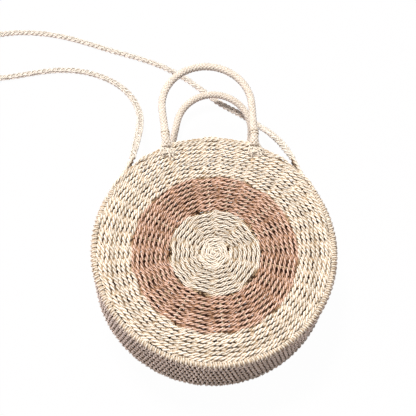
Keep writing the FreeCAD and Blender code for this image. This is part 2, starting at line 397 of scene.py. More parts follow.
def add_node(tree, kind, inputs, **options):
    """A new shader node with its options and inputs."""
    node = tree.nodes.new("ShaderNode" + kind)
    for name, value in options.items():
        setattr(node, name, value)
    feed(tree, node, inputs)
    return node


def straw_group():
    """Node group for twisted straw: fibre streaks along each ply with painted shade in their creases,
    mottling, a tone for each ply, and painted shade from the shade attribute.
    """
    group = bpy.data.node_groups.get("Straw Cord")
    if group:
        return group
    group = bpy.data.node_groups.new("Straw Cord", "ShaderNodeTree")
    for name, direction, kind in (("Colour", "INPUT", "Color"), ("Crease Colour", "INPUT", "Color"),
                                  ("Fibre Scale", "INPUT", "Float"), ("Mottle", "INPUT", "Float"),
                                  ("Colour", "OUTPUT", "Color"), ("Roughness", "OUTPUT", "Float"),
                                  ("Height", "OUTPUT", "Float")):
        group.interface.new_socket(name=name, in_out=direction, socket_type="NodeSocket" + kind)
    given = group.nodes.new("NodeGroupInput").outputs

    def attribute(name, output="Fac"):
        return add_node(group, "Attribute", {}, attribute_name=name).outputs[output]

    def calculate(operation, first, second):
        return add_node(group, "Math", {0: first, 1: second}, operation=operation).outputs[0]

    def noise(x, y, z, detail):
        place = add_node(group, "CombineXYZ", {0: x, 1: y, 2: z}).outputs[0]
        return add_node(group, "TexNoise", {"Vector": place, "Scale": 1.0, "Detail": detail}).outputs["Fac"]

    times, plus, minus = (partial(calculate, name) for name in ("MULTIPLY", "ADD", "SUBTRACT"))
    ply = add_node(group, "SeparateXYZ", {0: attribute("ply", "Vector")}).outputs
    tone = attribute("tone")
    shift = times(tone, 61.0)

    # Fibres run along the ply, so the pattern is stretched that way. Their streaks are partly the straw's
    # own colour and partly painted shade, darker where the fibre bump is low
    along = times(ply["X"], given["Fibre Scale"])
    fibre = noise(plus(along, shift), times(ply["Y"], 2.6), times(ply["Z"], 2.6), 3.0)
    crease_shade = add_node(group, "MapRange", {"Value": fibre, "From Min": 0.28, "From Max": 0.52}).outputs[0]
    streaks = add_node(group, "Mix", {"Factor": crease_shade, "A": given["Crease Colour"], "B": given["Colour"]},
                       data_type="RGBA")

    # Each ply is a little lighter or darker, and changes along its length
    mottle = noise(times(ply["X"], 70.0), shift, 0.0, 2.0)
    level = plus(times(tone, 0.5), mottle)
    swing = times(minus(level, 0.75), given["Mottle"])
    hue = add_node(group, "HueSaturation", {
        "Color": streaks.outputs["Result"], "Value": plus(swing, 1.0),
        "Saturation": minus(1.0, times(swing, 0.5))})

    # Painted shade: the shade attribute turns the straw tan where it lies a little deeper, and dark brown
    # deep in the weave
    ramp = add_node(group, "ValToRGB", {"Fac": attribute("shade")})
    stops = ramp.color_ramp.elements
    stops[0].color = (1.0, 1.0, 1.0, 1.0)
    stops[1].color = (0.04, 0.017, 0.008, 1.0)
    stops.new(0.45).color = (0.66, 0.535, 0.39, 1.0)
    deep = add_node(group, "Mix", {"Factor": 1.0, "A": hue.outputs["Color"], "B": ramp.outputs["Color"]},
                    data_type="RGBA", blend_type="MULTIPLY")
    feed(group, group.nodes.new("NodeGroupOutput"), {
        "Colour": deep.outputs["Result"], "Height": fibre,
        "Roughness": minus(0.86, times(crease_shade, 0.16))})
    return group


def straw_material(name, colour, crease_shade_share=0.62, fibre_scale=260.0, mottle=0.42):
    """Matt straw or cord in one colour."""
    material = bpy.data.materials.get(name)
    if material:
        return material
    material = bpy.data.materials.new(name)
    material.use_nodes = True
    tree = material.node_tree
    # Painted shade in the fibre creases: the straw colour made darker and warmer
    crease_shade = [value * crease_shade_share * tint for value, tint in zip(colour, CREASE_SHADE_TINT)]
    straw = add_node(tree, "Group", {"Colour": (*colour, 1.0), "Crease Colour": (*crease_shade, 1.0),
                                     "Fibre Scale": fibre_scale, "Mottle": mottle}, node_tree=straw_group())
    relief = add_node(tree, "Bump", {"Height": straw.outputs["Height"], "Distance": FIBRE_RELIEF,
                                     "Strength": 0.25})
    feed(tree, tree.nodes["Principled BSDF"], {
        "Base Color": straw.outputs["Colour"], "Roughness": straw.outputs["Roughness"],
        "Normal": relief.outputs["Normal"], "Specular IOR Level": 0.08})
    return material


# ---- stage and camera


CAMERA_AZIMUTH = -7.6 * DEGREE
CAMERA_ELEVATION = 66.7 * DEGREE
CAMERA_ROLL = 6.0 * DEGREE
CAMERA_TARGET = Vector((-6.0, 61.35, 90.0)) * MM
CAMERA_DISTANCE = 1.3
FLOOR_REACH = 4
FLOOR_HEIGHT = -0.4 * MM

# Each light's name, place, target, width, power and colour
LIGHTS = (
    ("Fill light", (-1.72, -0.3, 0.28), (0.0, 0.0, 0.04), 0.5, 11.0, (1.0, 0.92, 0.97)),
    ("Key light", (-0.75, 1.6, 3.6), (0.0, 0.05, 0.08), 0.85, 197.0, (1.0, 0.985, 0.96)),
    ("Top fill", (0.05, -0.32, 0.95), (0.0, 0.12, 0.1), 0.3, 2.0, (1.0, 0.97, 0.95)),
)


def white_when_seen(tree, shader, white_kind, rays, share, output):
    """Turn a shader white for the camera and for the other rays named."""
    path = add_node(tree, "LightPath", {}).outputs
    seen = path["Is Camera Ray"]
    for ray in rays:
        seen = add_node(tree, "Math", {0: seen, 1: path[ray]}, operation="MAXIMUM").outputs[0]
    seen = add_node(tree, "Math", {0: seen, 1: share}, operation="MULTIPLY").outputs[0]
    white = add_node(tree, white_kind, {"Color": (1.0, 1.0, 1.0, 1.0)})
    mix = add_node(tree, "MixShader", {"Fac": seen, 1: shader.outputs[0], 2: white.outputs[0]})
    feed(tree, tree.nodes[output], {"Surface": mix.outputs[0]})


def floor_material(colour):
    """Floor that is white to the camera and keeps a soft shadow."""
    material = bpy.data.materials.new("Pale floor")
    material.use_nodes = True
    tree = material.node_tree
    shader = tree.nodes["Principled BSDF"]
    feed(tree, shader, {"Base Color": (*colour, 1.0), "Roughness": 0.9})
    white_when_seen(tree, shader, "Emission", ("Is Glossy Ray", "Is Transmission Ray"), 0.98,
                    "Material Output")
    return material


def studio_world():
    """Even soft light, and white where the camera looks past the floor."""
    world = bpy.data.worlds.new("Studio")
    bpy.context.scene.world = world
    world.use_nodes = True
    tree = world.node_tree
    soft = tree.nodes["Background"]
    feed(tree, soft, {"Color": (0.97, 0.95, 1.0, 1.0), "Strength": 0.19})
    white_when_seen(tree, soft, "Background", ("Is Transmission Ray",), 1.0, "World Output")


def area_light(name, place, target, size, power, colour):
    """A square soft box that faces a point."""
    lamp = bpy.data.lights.new(name, "AREA")
    lamp.shape = "SQUARE"
    lamp.size = size
    lamp.energy = power
    lamp.color = colour
    holder = add_object(name, lamp)
    holder.location = place
    holder.rotation_mode = "QUATERNION"
    holder.rotation_quaternion = (Vector(target) - Vector(place)).to_track_quat("-Z", "Y")


class CIRCLEBAG_OT_stage(bpy.types.Operator):
    """Camera at the photograph's angle, pale floor and soft light"""
    bl_idname = "circlebag.stage"
    bl_label = "Stage"

    def execute(self, context):
        level_share = math.cos(CAMERA_ELEVATION)
        back = Vector((math.sin(CAMERA_AZIMUTH) * level_share, -math.cos(CAMERA_AZIMUTH) * level_share,
                       math.sin(CAMERA_ELEVATION)))
        level = (-back).cross(Vector(UP)).normalized()
        upright = level.cross(-back)
        right = level * math.cos(CAMERA_ROLL) + upright * math.sin(CAMERA_ROLL)
        top = upright * math.cos(CAMERA_ROLL) - level * math.sin(CAMERA_ROLL)
        lens = bpy.data.cameras.new("Camera")
        lens.sensor_width = 36.0
        lens.lens = 82.8
        camera = add_object("Camera", lens)
        camera.matrix_world = (Matrix.Translation(CAMERA_TARGET + back * CAMERA_DISTANCE)
                               @ Matrix((right, top, back)).transposed().to_4x4())
        context.scene.camera = camera
        context.scene.view_settings.view_transform = "Standard"

        corners = [(x * FLOOR_REACH, y * FLOOR_REACH, FLOOR_HEIGHT)
                   for x, y in ((-1, -1), (1, -1), (1, 1), (-1, 1))]
        mesh = bpy.data.meshes.new("Floor")
        mesh.from_pydata(corners, [], [(0, 1, 2, 3)])
        mesh.materials.append(floor_material(context.scene.circlebag_colours.floor))
        add_object("Floor", mesh)
        studio_world()
        for light in LIGHTS:
            area_light(*light)
        return {"FINISHED"}


# ---- strap


def nurbs_line(route):
    """Points along a smooth spline whose control points are the route's."""
    curve = bpy.data.curves.new("Strap line", "CURVE")
    curve.dimensions = "3D"
    spline = curve.splines.new("NURBS")
    spline.points.add(len(route) - 1)
    for point, place in zip(spline.points, route):
        point.co = (*(value * MM for value in place), 1.0)
    spline.order_u = 3
    spline.use_endpoint_u = True
    spline.resolution_u = 12
    holder = add_object("Strap line", curve)
    bpy.context.view_layer.update()
    depsgraph = bpy.context.evaluated_depsgraph_get()
    mesh = bpy.data.meshes.new_from_object(holder.evaluated_get(depsgraph))
    points = np.array([vertex.co for vertex in mesh.vertices], float)
    bpy.data.objects.remove(holder)
    bpy.data.curves.remove(curve)
    bpy.data.meshes.remove(mesh)
    return points


class CIRCLEBAG_OT_strap(bpy.types.Operator):
    """Three-strand plait that runs from one end of the side band to the other"""
    bl_idname = "circlebag.strap"
    bl_label = "Shoulder strap"

    def execute(self, context):
        sizes, ropes, colours = settings(context)
        rng = np.random.default_rng(sizes.seed)
        points = nurbs_line(STRAP_ROUTE)
        path = resample(points, 1.3 * MM)
        side, up = frames_along(path, UP)
        run = np.linspace(0.0, 1.0, len(path))
        length = run_along(path)[-1]
        turns = round(length / ropes.plait_pitch)

        # The plait is widest a little way from each root
        from_end = np.minimum(run, 1 - run) * length
        sway = ropes.strap_width * (0.28 + 0.09 * smoothstep(from_end, 0.0, 30 * MM)
                                    - 0.11 * smoothstep(from_end, 60 * MM, 260 * MM))
        cross = ropes.strap_width * 0.11
        drift = wander(rng, 6)
        mesh = CordMesh(sizes, rng)
        for strand in range(3):
            phase = TURN * (turns * run + strand / 3) + 0.5 * drift(run)
            line = (path + (sway * np.sin(phase))[:, None] * side
                    + (cross * np.sin(2 * phase))[:, None] * up)
            mesh.plied(line, UP, scale=1.1, hidden_shade=0.4, fine=True)
        straw = straw_material("Strap straw", colours.strap)
        piece = mesh.write("strap_plait", straw, "strap_plait",
                           "strap_right_run", "strap_far_loop", "strap_left_run")
        return {"FINISHED"}


# ---- panels


HUB_RADIUS = 21.0 * MM
HUB_START = 3 * MM
HUB_BUNDLES = 5
HUB_PHASE = 18 * DEGREE
CENTRE_PHASE = -3 * DEGREE
RING_PHASE = 4 * DEGREE
OUTER_PHASE = -0.5 * DEGREE
BUNDLE_COUNT = 10
PAIR_COUNT = 20
STAKE_COUNT = 40
STAKE_START = 11 * MM
STAKE_STEP = 2.5 * MM
FORK_REACH = 6 * MM
PAIR_ANGLE = 9 * DEGREE
SINGLE_ANGLE = 4.5 * DEGREE
EDGE_ROW = 8
ROW_STRAIGHTNESS = 0.8
ROW_SCALES = (0.93, 1.06)
WEFT_SLIP = 3.2 * MM
BACK_FLOOR = 2.5 * MM
FOOT_PRESS = 5.2 * MM
MOUTH_FADE = 0.06
GROOVE_WIDTH = 5 * MM

# Short ends in the hub: direction in degrees, reach and height in millimetres
HUB_ENDS = ((20, 6.0, 0.4), (95, 5.0, 1.1), (150, 6.5, 1.6))


def at_mouth(x, y):
    """1 where the edge borders the open mouth, and 0 where the side band joins it."""
    angle = np.arctan2(y, x)
    return (smoothstep(angle, MOUTH_START - MOUTH_FADE, MOUTH_START + MOUTH_FADE)
            * (1 - smoothstep(angle, BAND_LEFT_ANGLE - MOUTH_FADE, BAND_LEFT_ANGLE + MOUTH_FADE)))


def panel_swell(x, y):
    """How far the soft, uneven panel stands proud: most in its middle, least in a groove at the rim."""
    reach = np.sqrt(x ** 2 + y ** 2) / DISC_RADIUS
    ripple = np.sin(x * 37 + 0.7) * np.sin(y * 29 + 1.9) + 0.6 * np.sin(x * 71 + y * 53)
    groove = smoothstep(reach * DISC_RADIUS, RIM_INNER_RADIUS - GROOVE_WIDTH, RIM_INNER_RADIUS)
    groove = groove * (1 - at_mouth(x, y))
    return ((1.0 + 0.25 * ripple) * (1 - reach ** 2) - 1.5 * groove) * MM


def on_panel(theta, radius, lift=0.0, aside=0.0):
    """Points of the front panel about the middle of its weave."""
    x = radius * np.cos(theta) + aside
    y = WEAVE_CENTRE_Y + radius * np.sin(theta)
    return np.stack([x, y, FRONT_MID_HEIGHT + lift + panel_swell(x, y)], -1)


def to_side(points, side):
    """Points of the front panel as they are, or turned to the back, which its handle's feet press in."""
    if side == "front":
        return points
    x, y, z = points.T
    z = BAG_DEPTH - z + panel_swell(x, y) + 0.5 * MM
    near_y = smoothstep(y, FEET["back"][0] - 36.5 * MM, FEET["back"][0] - 26.5 * MM)
    for foot_x in (-FOOT_X, FOOT_X):
        near_x = 1 - smoothstep(np.abs(x - foot_x), 6 * MM, 14 * MM)
        z = z + FOOT_PRESS * near_x * near_y * (1 - smoothstep(z, 6 * MM, 12 * MM))
    return np.stack([x, y, np.maximum(z, BACK_FLOOR)], -1)


def facet(theta, columns, phase, share):
    """Radius factor of a row that runs straight across each stake and turns between stakes."""
    step = TURN / columns
    local = (theta - phase + step / 2) % step - step / 2
    mean = np.log(1 / math.cos(step / 2) + math.tan(step / 2)) / (step / 2)
    return 1 + share * (1 / np.cos(local) / mean - 1)


def weft_line(sizes, rng, shared, theta, radius, columns, phase, parity, share):
    """One weft row: in front of every second stake and behind the others."""
    turn = theta / TURN
    jitter = wander(rng, 5)
    slip = wander(rng, 5)
    ring = radius * facet(theta, columns, phase, share)
    ring = ring + sizes.wobble * (1.2 * shared(turn) + 0.7 * jitter(turn))
    wave = parity * squared_wave(columns / 2 * (theta - phase + WEFT_SLIP / radius * slip(turn)))
    return on_panel(theta, ring, sizes.weave_height * wave * (1 + 0.12 * jitter(turn * 1.7))), wave


def pressed(wave, shade_strength=1.0, start=0.45, end=1.0):
    """Looks of a weft that weaves: painted shade where it lies behind, and narrow where it changes sides.
    """
    return {"shade": shade_strength * smoothstep(-wave, start, end), "width": 0.74 + 0.26 * np.abs(wave)}


def row_arc(radius):
    """Start and end angle of a row inside the rim, or None where it is a whole ring."""
    for reach in (RIM_INNER_RADIUS - 0.5 * MM, RIM_INNER_RADIUS + 4 * MM):
        rise = (radius ** 2 + WEAVE_CENTRE_Y ** 2 - reach ** 2) / (-2 * WEAVE_CENTRE_Y * radius)
        if rise <= -1:
            return None
        start = math.asin(min(rise, 1.0))
        if math.atan2(WEAVE_CENTRE_Y + radius * math.sin(start), radius * math.cos(start)) < MOUTH_START:
            break
    return start, math.pi - start


def weave_zone(sizes, rng, shared, side, radii, columns, phase, first_parity, straight=ROW_STRAIGHTNESS,
               slim=1.0, hidden_shade=0.68, dark_from=0.0, fine=False):
    """A mesh of the weft rows of one zone. Its gaps get painted shade, weaker beside other zones and the
    rim.
    """
    mesh = CordMesh(sizes, rng)
    for row, (radius, share) in enumerate(zip(radii, np.broadcast_to(straight, len(radii)))):
        arc = row_arc(radius)
        closed = arc is None
        start, end = (0.0, TURN) if closed else arc
        count = max(24, int((end - start) * radius / sizes.sample_step))
        theta = np.linspace(start, end, count, endpoint=not closed)
        parity = first_parity * (-1) ** row
        line, wave = weft_line(sizes, rng, shared, theta, radius, columns, phase, parity, share)

        # Along some stretches of a row the painted shade behind the stakes is weaker, at random
        patchy = wander(rng, 9)
        shade_strength = np.clip(0.95 + 0.4 * patchy(theta / TURN), 0.4, 1.0)
        shade_strength = shade_strength * (1 - 0.8 * smoothstep(np.hypot(line[:, 0], line[:, 1]), RIM_INNER_RADIUS - 8 * MM,
                                          RIM_INNER_RADIUS - 3 * MM))
        if row in (0, len(radii) - 1):
            shade_strength = 0.7 * shade_strength
        mesh.plied(to_side(line, side), UP, scale=rng.uniform(*ROW_SCALES), closed=closed,
                   flatness=slim * sizes.flatness, hidden_shade=hidden_shade, fine=fine, **pressed(wave, shade_strength, dark_from))
    return mesh


def weave_hub(mesh, side):
    """The spiral in the middle, over five bundles of stakes, and the short ends that fill it."""
    sizes = mesh.sizes
    turns = (HUB_RADIUS - HUB_START) / sizes.row_pitch
    count = int(turns * math.pi * (HUB_RADIUS + HUB_START) / sizes.sample_step)
    theta = np.linspace(0.0, turns * TURN, count) + 40 * DEGREE
    radius = HUB_START + sizes.row_pitch * (theta - theta[0]) / TURN
    ring = radius * facet(theta, HUB_BUNDLES, HUB_PHASE, 1.15 - 0.75 * radius / HUB_RADIUS)
    slip = wander(mesh.rng, 8)
    wave = squared_wave(HUB_BUNDLES / 2 * (theta - HUB_PHASE))
    line = on_panel(theta, ring, 0.8 * sizes.weave_height * wave, 0.3 * MM * slip(theta / (TURN * turns)))
    mesh.plied(to_side(line, side), UP, flatness=sizes.flatness, fine=True, **pressed(wave))
    share = np.linspace(-1, 1, 12)[:, None]
    for degrees, reach, height in HUB_ENDS:
        along = ring_point(degrees * DEGREE, 1.0, 0.0)
        middle = np.array([0.0, WEAVE_CENTRE_Y, FRONT_MID_HEIGHT + height * MM])
        line = middle + share * reach * MM * along - (share ** 4) * UP * 1.6 * MM
        mesh.plied(to_side(line, side), UP, scale=0.85)


def stake_line(index):
    """A stake from its bundle near the hub, through its pair, to the rim."""
    bundle, place = divmod(index, 4)
    pair = -1 if place < 2 else 1
    single = -1 if place % 2 == 0 else 1
    bundle_angle = bundle * TURN / BUNDLE_COUNT
    outer = bundle_angle + OUTER_PHASE - SINGLE_ANGLE + PAIR_ANGLE * pair + SINGLE_ANGLE * single
    lean = WEAVE_CENTRE_Y * math.sin(outer)
    end = math.sqrt(lean ** 2 - WEAVE_CENTRE_Y ** 2 + (RIM_INNER_RADIUS + 2 * MM) ** 2) - lean
    radius = np.arange(STAKE_START, end, STAKE_STEP)
    inside = bundle_angle + CENTRE_PHASE + (pair * 1.5 + single * 0.75) * MM / radius
    between = bundle_angle + RING_PHASE - PAIR_ANGLE + PAIR_ANGLE * pair + single * 0.95 * MM / radius
    theta = inside
    for border, angle in ((CENTRE_RADIUS, between), (RING_RADIUS, outer)):
        theta = theta + (angle - theta) * smoothstep(radius, border - FORK_REACH, border + FORK_REACH)
    return on_panel(theta, radius)


def panel_stakes(sizes, rng, side):
    """A mesh of a panel's stakes. Most get painted shade between the rows, and all get more where they
    fork.
    """
    mesh = CordMesh(sizes, rng)
    for index in range(STAKE_COUNT):
        line = stake_line(index)
        reach = np.hypot(line[:, 0], line[:, 1] - WEAVE_CENTRE_Y)
        fork = sum(1 - smoothstep(np.abs(reach - border), 3 * MM, 8 * MM)
                   for border in (CENTRE_RADIUS, RING_RADIUS))
        # Painted shade for a stake seen in the slots: a few stay pale, most are shaded
        dark = 0.22 if rng.uniform(0, 1) < 0.2 else rng.uniform(0.55, 0.85)
        mesh.stake(to_side(line, side), UP, np.minimum(dark + 0.25 * fork, 1.0))
    return mesh


class CIRCLEBAG_OT_panels(bpy.types.Operator):
    """Both round panels: cream middle, rose ring, cream outside and the stakes between the rows"""
    bl_idname = "circlebag.panels"
    bl_label = "Woven panels"

    def execute(self, context):
        sizes, _, colours = settings(context)
        cream = straw_material("Cream straw", colours.cream)
        rose = straw_material("Rose straw", colours.rose, mottle=0.7)
        stake = straw_material("Stake cord", colours.stake)
        pitch = sizes.row_pitch
        centre_rows = np.arange(HUB_RADIUS + 0.5 * MM, CENTRE_RADIUS - 1 * MM, pitch)
        ring_width = RING_RADIUS - CENTRE_RADIUS
        ring_count = round(ring_width / pitch)
        ring_rows = CENTRE_RADIUS + (np.arange(ring_count) + 0.5) * ring_width / ring_count
        outer_rows = np.arange(RING_RADIUS + pitch / 2, RIM_INNER_RADIUS + 3 * MM - WEAVE_CENTRE_Y, pitch)
        for side, rng in each_side(sizes, 10):
            panel = (sizes, rng, wander(rng, 7), side)
            centre = weave_zone(*panel, centre_rows, BUNDLE_COUNT, CENTRE_PHASE, 1,
                                straight=1.0 - 0.35 * centre_rows / CENTRE_RADIUS,
                                slim=0.88, hidden_shade=0.95, dark_from=-0.25, fine=True)
            weave_hub(centre, side)
            ring = weave_zone(*panel, ring_rows, PAIR_COUNT, RING_PHASE, -1,
                              slim=0.77, hidden_shade=1.0, dark_from=-0.3)
            outer, edge = (weave_zone(*panel, rows, STAKE_COUNT, OUTER_PHASE, 1)
                           for rows in (outer_rows[:EDGE_ROW], outer_rows[EDGE_ROW:]))
            stakes = panel_stakes(sizes, rng, side)
            for mesh, name, material, slot in (
                    (centre, "centre_weave", cream, "cream_straw"),
                    (ring, "rose_ring", rose, "rose_straw"),
                    (outer, "outer_weave", cream, "cream_straw"),
                    (edge, "outer_weave.edge", cream, "cream_straw"),
                    (stakes, "stakes", stake, "stake_cord")):
                mesh.write(side + "_panel_" + name, material, slot, side + "_" + name.removesuffix(".edge"))
        return {"FINISHED"}


# ---- rims and side band


BAND_STAKES = 6
BAND_SPACING = BAND_HEIGHT / BAND_STAKES
BAND_STEP = 1.6 * MM
STITCH_COUNT = 96
STITCH_REACH = 4.4 * MM
LOOP_RADIUS = 2.8 * MM
LOOP_POINTS = 12

# Cords of the border at the mouth: parity, and millimetres in from the edge and down from the face
BORDER = ((1, 2.6, 2.6), (-1, 2.8, 6.0), (-1, 5.4, 4.4))
BORDER_LAP = 0.07
BORDER_LUMP = 0.9 * MM


def band_count(sizes):
    """Number of wefts round the side band."""
    return round(BAND_SPAN * BAND_MID_RADIUS / sizes.band_pitch)


class CIRCLEBAG_OT_rims(bpy.types.Operator):
    """The cord that loops over the edge of each panel along the band, and the woven border at the mouth"""
    bl_idname = "circlebag.rims"
    bl_label = "Rims"

    def execute(self, context):
        sizes, _, colours = settings(context)
        cream = straw_material("Cream straw", colours.cream)
        count = band_count(sizes)
        for side, rng in each_side(sizes, 30):
            mesh = CordMesh(sizes, rng)

            # Every second loop lies deeper, as the wefts of the band do
            turn = np.linspace(-1.0, count, (count + 1) * LOOP_POINTS)
            uneven = wander(rng, 24)
            angle = BAND_LEFT_ANGLE + BAND_SPAN * (turn + 0.5) / count
            proud = (0.82 + 0.18 * np.cos(math.pi * turn)) * (1 + 0.05 * uneven(turn / count * 4))
            core = ring_point(angle, DISC_RADIUS - 4.6 * MM, BAG_DEPTH - 5.1 * MM)
            out = ring_point(angle, np.cos(TURN * turn), np.sin(TURN * turn))
            hint = out if side == "front" else out * np.array([1.0, 1.0, -1.0])
            # Painted shade on every second loop, which lies deeper
            shade = 0.3 * smoothstep(-np.cos(math.pi * turn), -0.1, 0.9)
            mesh.plied(to_side(core + out * proud[:, None] * LOOP_RADIUS, side), hint, shade=shade)

            sweep = np.linspace(MOUTH_START - BORDER_LAP, BAND_LEFT_ANGLE + BORDER_LAP, 210)
            wave = squared_wave(STAKE_COUNT / 2 * (sweep - OUTER_PHASE))
            for parity, inset, down in BORDER:
                lump = parity * BORDER_LUMP * wave
                line = ring_point(sweep, DISC_RADIUS - inset * MM + lump, BAG_DEPTH - down * MM + lump)
                # Painted shade where a border cord lies deeper
                mesh.plied(to_side(line, side), UP, **pressed(parity * wave, 0.6, 0.2))
            mesh.write(side + "_rim_loops", cream, "cream_straw", side + "_rim")
        return {"FINISHED"}


def band_weft(rng, angle, parity):
    """One weft across the side band, and how deep it lies."""
    height = np.arange(BAND_BOTTOM - 2 * MM, BAND_TOP + 2 * MM, BAND_STEP)
    wave = parity * squared_wave(math.pi * (height - BAND_BOTTOM - BAND_SPACING / 2) / BAND_SPACING)
    stray = wander(rng, 3)
    theta = angle + 0.35 * MM / DISC_RADIUS * stray(np.linspace(0, 0.3, len(height)))
    return ring_point(theta, BAND_MID_RADIUS + (0.6 + 1.2 * wave) * MM, height), wave


class CIRCLEBAG_OT_band(bpy.types.Operator):
    """The woven side band, the cords along it and the stitches at its seams"""
    bl_idname = "circlebag.band"
    bl_label = "Side band"

    def execute(self, context):
        sizes, _, colours = settings(context)
        cream = straw_material("Cream straw", colours.cream)
        stake = straw_material("Stake cord", colours.stake)
        rng = np.random.default_rng(sizes.seed + 50)
        count = band_count(sizes)
        halves = {"left": CordMesh(sizes, rng), "right": CordMesh(sizes, rng)}
        for k in range(count):
            angle = BAND_LEFT_ANGLE + BAND_SPAN * (k + 0.5) / count
            line, wave = band_weft(rng, angle, (-1) ** k)
            # Painted shade where a weft lies behind the band's stakes
            halves["left" if k < count / 2 else "right"].plied(
                line, ring_point(angle, 1.0, 0.0), scale=0.84, flatness=1.05, hidden_shade=0.8,
                **pressed(wave, 1.0, 0.0, 0.6))
        for name, mesh in halves.items():
            mesh.write("side_band_wefts_" + name, cream, "cream_straw", "gusset_weave")

        cords = CordMesh(sizes, rng)
        theta = np.linspace(BAND_LEFT_ANGLE, BAND_RIGHT_ANGLE, 260)
        for k in range(BAND_STAKES):
            line = ring_point(theta, BAND_MID_RADIUS, BAND_BOTTOM + BAND_SPACING * (k + 0.5))
            # The band's stakes get painted shade
            cords.stake(line, UP, 0.8)
        cords.write("side_band_stakes", stake, "stake_cord", "gusset_stakes")

        share = np.linspace(-1, 1, 9)
        for side, seam in (("front", BAND_TOP), ("back", BAND_BOTTOM)):
            mesh = CordMesh(sizes, rng)
            for k in range(STITCH_COUNT):
                angle = BAND_LEFT_ANGLE + 4 * DEGREE + (BAND_SPAN - 8.6 * DEGREE) * k / (STITCH_COUNT - 1)
                line = ring_point(angle + 0.6 * DEGREE + share * 1.1 * MM / DISC_RADIUS,
                                  DISC_RADIUS + (0.1 - 1.2 * share ** 4) * MM, seam + share * STITCH_REACH)
                mesh.plied(line, ring_point(angle, 1.0, 0.0), scale=0.45)
            mesh.write(side + "_seam_whip", cream, "stitch_cord", side + "_seam_stitches")
        return {"FINISHED"}


class CIRCLEBAG_OT_roots(bpy.types.Operator):
    """The tapered ends of the side band, from which the strap grows"""
    bl_idname = "circlebag.roots"
    bl_label = "Strap roots"

    def execute(self, context):
        sizes, _, colours = settings(context)
        cream = straw_material("Cream straw", colours.cream)
        half_base = BAND_HEIGHT / 2 - 1.5 * MM
        half_tip = 2.6 * MM
        ends = (("right", BAND_RIGHT_ANGLE, STRAP_ROUTE[0], STRAP_ROUTE[1]),
                ("left", BAND_LEFT_ANGLE, STRAP_ROUTE[-1], STRAP_ROUTE[-2]))
        for number, (name, angle, tip, onward) in enumerate(ends):
            rng = np.random.default_rng(sizes.seed + 70 + number)
            outward = ring_point(angle, 1.0, 0.0)
            base = ring_point(angle, BAND_MID_RADIUS, (BAND_BOTTOM + BAND_TOP) / 2)
            tip = np.array(tip) * MM
            away = unit(np.cross(np.array(onward) * MM - tip, UP))
            if away @ outward < 0:
                away = -away

            def half_at(share):
                return half_base + (half_tip - half_base) * share

            def place(share, reach, lift=0.0):
                share, reach, lift = (np.asarray(value)[..., None] for value in (share, reach, lift))
                normal = unit(outward + (away - outward) * share)
                return base + (tip - base) * share + UP * (reach * half_at(share)) + normal * lift

            mesh = CordMesh(sizes, rng)
            count = round(np.linalg.norm(tip - base) / sizes.band_pitch)
            for k in range(count):
                share = (k + 0.5) / count
                width = 2 * half_at(share)
                crossings = max(1, round(width * BAND_STAKES / BAND_HEIGHT))
                reach = np.linspace(-1, 1, max(5, int(width / BAND_STEP)))
                wave = (-1) ** k * squared_wave(math.pi * crossings * (reach + 1) / 2)
                line = place(share, reach, (1.4 - 0.5 * share) * MM * wave)
                mesh.plied(line, outward, flatness=sizes.flatness, hidden_shade=0.4)
            for reach in (-1.0, 1.0):
                mesh.plied(place(np.linspace(-0.04, 1.06, 46), reach), outward, hidden_shade=0.15)
            for k in range(BAND_STAKES):
                mesh.stake(place(np.linspace(-0.04, 1.0, 30), (2 * k + 1) / BAND_STAKES - 1), outward)
            mesh.write(name + "_root_weave", cream, "cream_straw", name + "_strap_root")
        return {"FINISHED"}


# ---- handles


ROPE_STEP = 1.6 * MM
FOOT_REACH = 8.0 * MM
BEND_REACH = 6 * MM
BRAID_RELIEF = 0.7 * MM
ROPE_REST = {"front": BAG_DEPTH + 3.3 * MM, "back": 3.2 * MM}
WHIPPINGS = (8.0 * MM, 12.5 * MM)


def tilt_of(side, ropes):
    """How far a handle is turned up about its feet."""
    return 0.0 if side == "front" else ropes.back_tilt


def arch_line(side, ropes):
    """Middle line of a handle's rope from its right foot to its left one."""
    foot_y, foot_z = FEET[side]
    lean, rise, radius = (getattr(ropes, side + size) for size in ("_lean", "_arch_rise", "_arch_radius"))
    middle = np.array([lean, foot_y + rise])
    corners = []
    for sign in (1, -1):
        to_foot = np.array([sign * ropes.half_span, foot_y]) - middle
        corners.append(math.atan2(to_foot[1], to_foot[0])
                       + sign * math.acos(radius / np.linalg.norm(to_foot)))
    sweep = np.linspace(corners[0], corners[1] % TURN, 160)
    x = np.concatenate([[ropes.half_span], middle[0] + radius * np.cos(sweep), [-ropes.half_span]])
    away = np.concatenate([[0.0], middle[1] + radius * np.sin(sweep) - foot_y, [0.0]])
    tilt = tilt_of(side, ropes)
    return np.stack([x, foot_y + away * math.cos(tilt), foot_z + away * math.sin(tilt)], -1)


def rope_line(side, ropes):
    """The rope's whole line, from one lashed end over the arch to the other."""
    arch = resample(arch_line(side, ropes), ROPE_STEP)
    foot_y, foot_z = FEET[side]
    rest = ROPE_REST[side]
    tails = []
    for sign, joins in ((1, arch[3]), (-1, arch[-4])):
        corners = np.array([[sign * (FOOT_X - 1 * MM), foot_y - FOOT_REACH, rest],
                            [sign * (FOOT_X - 0.6 * MM), foot_y - 3.5 * MM, (rest + foot_z) / 2], joins])
        tails.append(smooth_line(corners, 1.0 * MM))
    return resample(np.concatenate([tails[0][:-1], arch[3:-3], tails[1][::-1][1:]]), ROPE_STEP)


